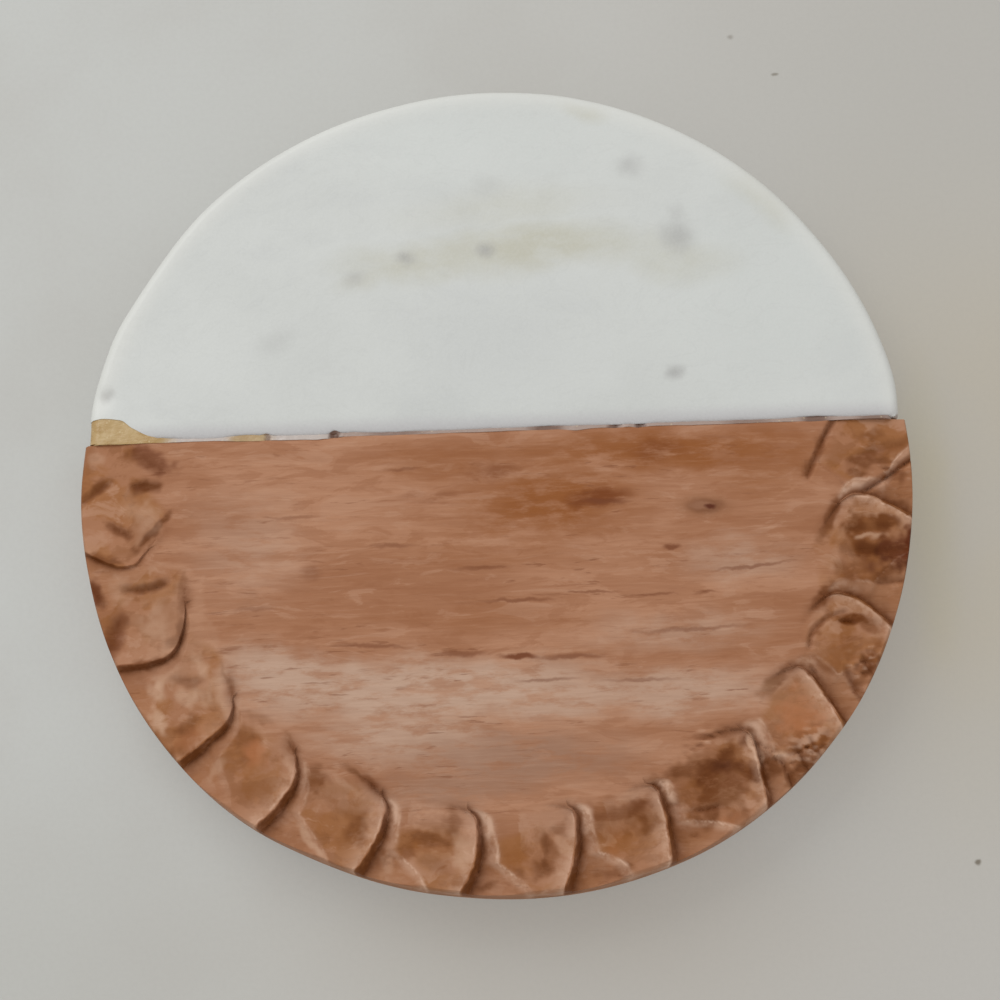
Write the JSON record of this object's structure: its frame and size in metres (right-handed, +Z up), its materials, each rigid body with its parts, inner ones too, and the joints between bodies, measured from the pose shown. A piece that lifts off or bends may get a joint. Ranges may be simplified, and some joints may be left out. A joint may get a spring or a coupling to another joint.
{
  "type": "drink coaster",
  "caption": "Round drink coaster of white marble and carved hardwood, pinned and glued on one straight seam, on rubber feet.",
  "frame": {"origin": "on the plane that the feet stand on, under the middle of the coaster's outline", "axes": "+X along the seam to the right as pictured, +Y across the seam towards the marble, +Z up"},
  "size_m": [0.1, 0.0991, 0.0098],
  "materials": {
    "marble": "honed white marble with faint warm veins and soft grey spots",
    "carved_wood": "oiled reddish brown hardwood, worn pale on the arrises of the carving",
    "epoxy": "amber cured epoxy, slightly cloudy",
    "dowel_steel": "plain drawn steel",
    "foot_rubber": "matt black moulded rubber",
    "adhesive": "milky acrylic adhesive film"
  },
  "bodies": {
    "root": {"marble_segment": "marble", "wood_segment": "carved_wood", "epoxy_seam": "epoxy", "seam_dowel_left": "dowel_steel", "seam_dowel_right": "dowel_steel", "foot_marble_left": "foot_rubber", "foot_marble_right": "foot_rubber", "foot_wood_left": "foot_rubber", "foot_wood_right": "foot_rubber", "foot_adhesive_marble_left": "adhesive", "foot_adhesive_marble_right": "adhesive", "foot_adhesive_wood_left": "adhesive", "foot_adhesive_wood_right": "adhesive"}
  },
  "joints": []
}
